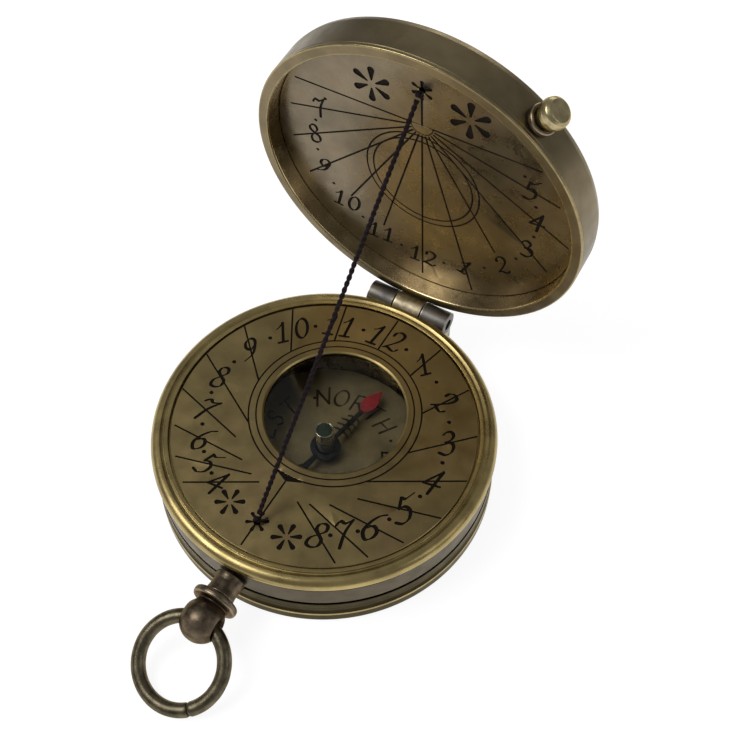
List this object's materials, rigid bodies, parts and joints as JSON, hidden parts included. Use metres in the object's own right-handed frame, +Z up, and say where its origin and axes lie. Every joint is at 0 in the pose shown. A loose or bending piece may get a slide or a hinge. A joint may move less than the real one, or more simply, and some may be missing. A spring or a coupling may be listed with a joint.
{
  "type": "pocket sundial compass",
  "caption": "Round folding pocket sundial with a hinged dial lid, a taut string gnomon, a levelled base dial over a small compass, and a hanging ring.",
  "frame": {"origin": "centre of the flat bottom face of the case", "axes": "+Z up out of the base dial, +Y towards the lid hinge, +X to the right seen from the pendant; lid at its open rest pose"},
  "size_m": [0.06, 0.0923, 0.0735],
  "materials": {
    "polished_brass": "polished antique brass",
    "satin_brass": "satin antique brass",
    "aged_brass": "aged brass, turned",
    "dial_brass": "aged brass, engraved",
    "card_brass": "dull aged brass",
    "dark_bronze": "dark bronzed brass",
    "gunmetal": "dark gunmetal",
    "bright_steel": "bright steel",
    "blued_steel": "blue-black steel",
    "green_cap": "dark green enamel",
    "window_glass": "clear",
    "cord": "twisted dark cord"
  },
  "bodies": {
    "case": {"base_cover": "aged_brass", "case_band": "satin_brass", "bezel_ring": "polished_brass", "hour_plate": "dial_brass", "window_glass": "window_glass", "glass_retainer": "aged_brass", "compass_bowl": "aged_brass", "compass_card": "card_brass", "pivot_pin": "bright_steel", "hinge_knuckle_left": "gunmetal", "hinge_knuckle_right": "gunmetal", "hinge_pin": "bright_steel", "pendant_neck": "dark_bronze", "pendant_finial": "dark_bronze", "gnomon_string": "cord", "string_knot_lower": "cord"},
    "lid": {"lid_shell": "satin_brass", "lid_dial_plate": "dial_brass", "hinge_knuckle_lid": "aged_brass", "knob_collar": "polished_brass", "lid_knob": "polished_brass", "string_knot_upper": "cord"},
    "needle": {"compass_needle": "blued_steel", "needle_hub": "polished_brass", "hub_cap": "green_cap"},
    "bow": {"bow_ring": "dark_bronze"}
  },
  "joints": [
    {"name": "lid_hinge", "type": "hinge", "parent": "case", "child": "lid", "pos_m": [0, 0.031, 0.0121], "axis": [1, 0, 0], "range_deg": [0, 84.7], "deforming": ["gnomon_string"]},
    {"name": "needle_turn", "type": "hinge", "parent": "case", "child": "needle", "pos_m": [0, 0, 0.0061], "axis": [0, 0, 1], "continuous": true},
    {"name": "bow_swing", "type": "hinge", "parent": "case", "child": "bow", "pos_m": [0, -0.03815, 0.0077], "axis": [-1, 0, 0], "range_deg": [-98, 136]}
  ]
}
